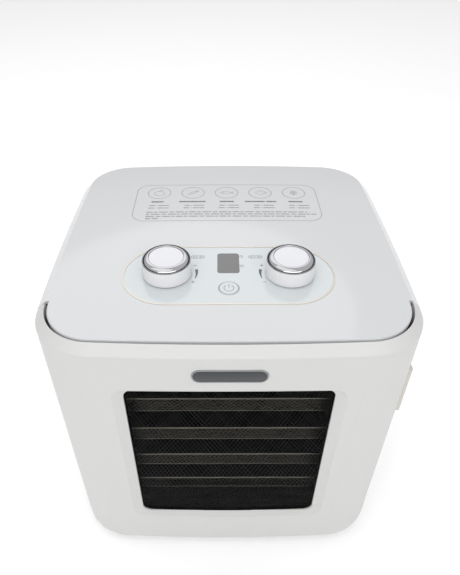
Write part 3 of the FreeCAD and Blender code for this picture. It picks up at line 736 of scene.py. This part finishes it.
def addBar(points, faces, a, b, side, up, width, thick):
    start = len(points)
    for end in (a, b):
        for s, u in ((-1, -1), (1, -1), (1, 1), (-1, 1)):
            points.append(end + side * (s * width / 2) + up * (u * thick / 2))
    faces.append((start, start + 1, start + 2, start + 3))
    faces.append((start + 7, start + 6, start + 5, start + 4))
    for i in range(4):
        j = (i + 1) % 4
        faces.append((start + j, start + i, start + 4 + i, start + 4 + j))


def pastCorner(x, y, halfX, lowY, highY):
    corner = traySet["corner"]
    dx = abs(x) - (halfX - corner)
    dy = abs(y - (lowY + highY) / 2) - ((highY - lowY) / 2 - corner)
    return dx > 0 and dy > 0 and math.hypot(dx, dy) > corner


def makeTray(index):
    node = "tray_" + str(index)
    low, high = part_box(node)
    wire = traySet["wire"]
    rimRadius = traySet["rimRadius"]
    points = []
    faces = []
    halfX = high.x - rimRadius
    lowY = low.y + rimRadius
    highY = high.y - rimRadius
    floorZ = low.z + wire
    wallTop = high.z - rimRadius
    # floor: two crossing families of wires, the second just above the first
    for family, slope in enumerate((traySet["slope"], -traySet["slope"])):
        way = Vector((1, slope, 0)).normalized()
        side = Vector((-way.y, way.x, 0))
        z = floorZ + family * wire * 0.6
        step = traySet["pitch"] * slope
        count = int((halfX * 2 * abs(slope) + highY - lowY) / abs(step)) + 2
        first = lowY - max(0.0, slope * 2 * halfX)
        for k in range(count + 1):
            y0 = first + k * abs(step)
            ends = []
            # y = y0 + slope * (x + halfX), clipped to the floor's rectangle
            for x in (-halfX, halfX):
                y = y0 + slope * (x + halfX)
                if lowY <= y <= highY:
                    ends.append((x, y))
            for y in (lowY, highY):
                x = (y - y0) / slope - halfX
                if -halfX < x < halfX:
                    ends.append((x, y))
            ends = sorted(set((round(x, 7), round(y, 7)) for x, y in ends))
            if len(ends) < 2:
                continue
            if any(pastCorner(x, y, halfX, lowY, highY) for x, y in (ends[0], ends[-1])):
                continue
            a = Vector((*ends[0], z))
            b = Vector((*ends[-1], z))
            if (b - a).length > 1 * mm:
                addBar(points, faces, a, b, side, Vector((0, 0, 1)), wire, wire * 0.7)
    # walls: the same wires folded up, walked round the outline
    path = trayPath(halfX, lowY, highY, traySet["corner"], traySet["pitch"])
    count = len(path)
    height = wallTop - floorZ
    rows = 4
    for k in range(count):
        for family in (1, -1):
            for row in range(rows):
                first = path[(k + family * row) % count]
                second = path[(k + family * (row + 1)) % count]
                a = Vector((first.x, first.y, floorZ + height * row / rows))
                b = Vector((second.x, second.y, floorZ + height * (row + 1) / rows))
                along = (b - a).normalized()
                out = Vector((along.y, -along.x, 0)).normalized()
                a = a + out * family * wire * 0.25
                b = b + out * family * wire * 0.25
                addBar(points, faces, a, b, along.cross(out), out, wire * 0.8, wire * 0.6)
    mesh = bpy.data.meshes.new(node + "Mesh")
    mesh.from_pydata([tuple(p) for p in points], [], faces)
    net = newPiece("dryingTray" + str(index) + "Net", mesh, node + "_body", finish["wire"],
                   False)
    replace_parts(net, node)
    tube = ringTube("dryingTray" + str(index) + "Rim", path, high.z - rimRadius, rimRadius)
    newPiece(tube.name, tube, node + "_body", finish["wire"])
    base = ringTube("dryingTray" + str(index) + "Base", path, floorZ + wire * 0.1, wire * 0.9)
    newPiece(base.name, base, node + "_body", finish["wire"])


def ringTube(name, path, z, radius, sides=10):
    points = []
    count = len(path)
    for k, p in enumerate(path):
        along = (path[(k + 1) % count] - path[k - 1]).normalized()
        out = Vector((along.y, -along.x))
        for s in range(sides):
            angle = 2 * math.pi * s / sides
            points.append((p.x + out.x * radius * math.cos(angle), p.y + out.y * radius * math.cos(angle),
                           z + radius * math.sin(angle)))
    faces = []
    for k in range(count):
        j = (k + 1) % count
        for s in range(sides):
            t = (s + 1) % sides
            faces.append((k * sides + s, j * sides + s, j * sides + t, k * sides + t))
    return closedMesh(name, points, faces)


for index in range(1, 6):
    makeTray(index)
print("trays made")


# screws with cross recesses, in place of the plain CAD discs

screwShape = {"head": 3.0 * mm, "dome": 1.5 * mm, "slot": 0.55 * mm, "reach": 1.7 * mm}


def crossScrews(name, spots, axis, body, node):
    points = []
    faces = []
    out = Vector(axis)
    right = Vector((1, 0, 0))
    up = out.cross(right)
    head = screwShape["head"]
    slot = screwShape["slot"] / 2
    reach = screwShape["reach"]
    for spot in spots:
        base = Vector(spot)
        rings = []
        for radius, height in ((head, 0.0), (head, 0.5 * mm), (head * 0.92, 0.95 * mm),
                               (head * 0.74, 1.3 * mm)):
            rings.append([(radius * math.cos(2 * math.pi * i / 32), radius * math.sin(2 * math.pi * i / 32),
                           height)
                          for i in range(32)])
        cross = [(slot, slot), (reach, slot), (reach, -slot), (slot, -slot), (slot, -reach), (-slot, -reach),
                 (-slot, -slot), (-reach, -slot), (-reach, slot), (-slot, slot), (-slot, reach),
                 (slot, reach)]
        start = len(points)
        for ring in rings:
            points += [base + right * x + up * y + out * h for x, y, h in ring]
        for level in range(3):
            for i in range(32):
                j = (i + 1) % 32
                faces.append((start + level * 32 + i, start + level * 32 + j,
                              start + (level + 1) * 32 + j, start + (level + 1) * 32 + i))
        faces.append(tuple(start + i for i in reversed(range(32))))
        rimStart = start + 96
        crossStart = len(points)
        points += [base + right * x + up * y + out * 1.45 * mm for x, y in cross]
        # fan between the head's last ring and the recess outline
        owner = [min(range(12), key=lambda c: (cross[c][0] - x) ** 2 + (cross[c][1] - y) ** 2)
                 for x, y, h in rings[3]]
        for i in range(32):
            j = (i + 1) % 32
            a = owner[i]
            b = owner[j]
            faces.append((rimStart + i, rimStart + j, crossStart + a))
            while a != b:
                nextOne = (a - 1) % 12 if ((a - b) % 12) < 6 else (a + 1) % 12
                faces.append((rimStart + j, crossStart + nextOne, crossStart + a))
                a = nextOne
        floorStart = len(points)
        points += [base + right * x * 0.8 + up * y * 0.8 + out * 0.55 * mm for x, y in cross]
        for i in range(12):
            j = (i + 1) % 12
            faces.append((crossStart + j, crossStart + i, floorStart + i, floorStart + j))
        faces.append(tuple(floorStart + i for i in range(12)))
    piece = newPiece(name, closedMesh(name, points, faces), body, finish["steel"])
    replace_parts(creased(piece, 35), node)


linerLow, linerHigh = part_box("door_liner")
screwLow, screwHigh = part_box("door_screws")
doorSpots = [(x, linerHigh.y, z) for x in (screwLow.x + 3 * mm, screwHigh.x - 3 * mm)
             for z in (screwLow.z + 3 * mm, (screwLow.z + screwHigh.z) / 2, screwHigh.z - 3 * mm)]
crossScrews("doorCrossScrews", doorSpots, (0, 1, 0), "door", "door_screws")
print("screws made")


# stage, lights and camera

stageSet = {"floorHalf": 6, "floorTone": (0.93, 0.93, 0.93), "floorShade": (0.92, 0.92, 0.92), "glow": 0.14,
            "high": (0.86, 0.86, 0.865), "low": (0.05, 0.05, 0.055), "lowEdge": 0.22, "highEdge": 0.52}


def makeStage():
    mesh = bpy.data.meshes.new("floor")
    half = stageSet["floorHalf"]
    mesh.from_pydata([(-half, -half, 0), (half, -half, 0), (half, half, 0), (-half, half, 0)], [],
                     [(0, 1, 2, 3)])
    floor = bpy.data.objects.new("floor", mesh)
    bpy.context.scene.collection.objects.link(floor)
    mesh.materials.append(plasticFinish("floorPaper", stageSet["floorTone"], stageSet["floorShade"], 0.8,
                                        300.0, 0.00002))
    paper = mesh.materials[0].node_tree.nodes["Principled BSDF"]
    paper.inputs["Emission Color"].default_value = rgb(1.0, 1.0, 1.0)
    paper.inputs["Emission Strength"].default_value = stageSet["glow"]
    # the room is pale overhead and dim near the horizon, so polished metal has something to mirror
    world = bpy.data.worlds.new("studio")
    g = Graph("studio", world, "Background")
    way = g.node("ShaderNodeTexCoord", {}, {}, "Generated")
    height = g.node("ShaderNodeSeparateXYZ", {}, {0: way}, 2)
    lift = g.node("ShaderNodeMapRange", {"interpolation_type": "SMOOTHSTEP"},
                  {0: height, 1: stageSet["lowEdge"], 2: stageSet["highEdge"]})
    g.set(Color=g.blend(lift, rgb(*stageSet["low"]), rgb(*stageSet["high"])))
    bpy.context.scene.world = world
    bpy.context.scene.view_settings.view_transform = "Standard"


def areaLight(name, place, aim, sizeX, sizeY, power, shape="RECTANGLE"):
    data = bpy.data.lights.new(name, "AREA")
    data.shape = shape
    data.size = sizeX
    data.size_y = sizeY
    data.energy = power
    light = bpy.data.objects.new(name, data)
    bpy.context.scene.collection.objects.link(light)
    light.location = place
    light.rotation_mode = "QUATERNION"
    light.rotation_quaternion = (Vector(aim) - Vector(place)).to_track_quat("-Z", "Y")


makeStage()
middle = (cadBox[0] + cadBox[1]) / 2
areaLight("topSoft", (-0.4, -0.3, 2.0), middle, 1.8, 1.4, 6.0)
areaLight("frontSoft", (0.10, -1.7, 1.55), middle, 3.0, 0.9, 17.0)
areaLight("backSoft", (-0.16, 1.5, 1.9), (-0.02, -0.12, 0.28), 1.85, 1.25, 4.5, "ELLIPSE")
print("stage and lights made")

view = {"lens": 32.5, "tilt": 39.3, "place": (-0.0078, -0.3949, 0.5480), "turn": -0.15, "shiftX": 0.0172}


def makeCamera():
    data = bpy.data.cameras.new("studioCamera")
    data.lens = view["lens"]
    data.sensor_width = 36.0
    data.shift_x = view["shiftX"]
    data.clip_start = 0.01
    camera = bpy.data.objects.new("studioCamera", data)
    bpy.context.scene.collection.objects.link(camera)
    camera.location = view["place"]
    camera.rotation_euler = (math.radians(90 - view["tilt"]), 0, math.radians(view["turn"]))
    bpy.context.scene.camera = camera


makeCamera()
print("camera placed")
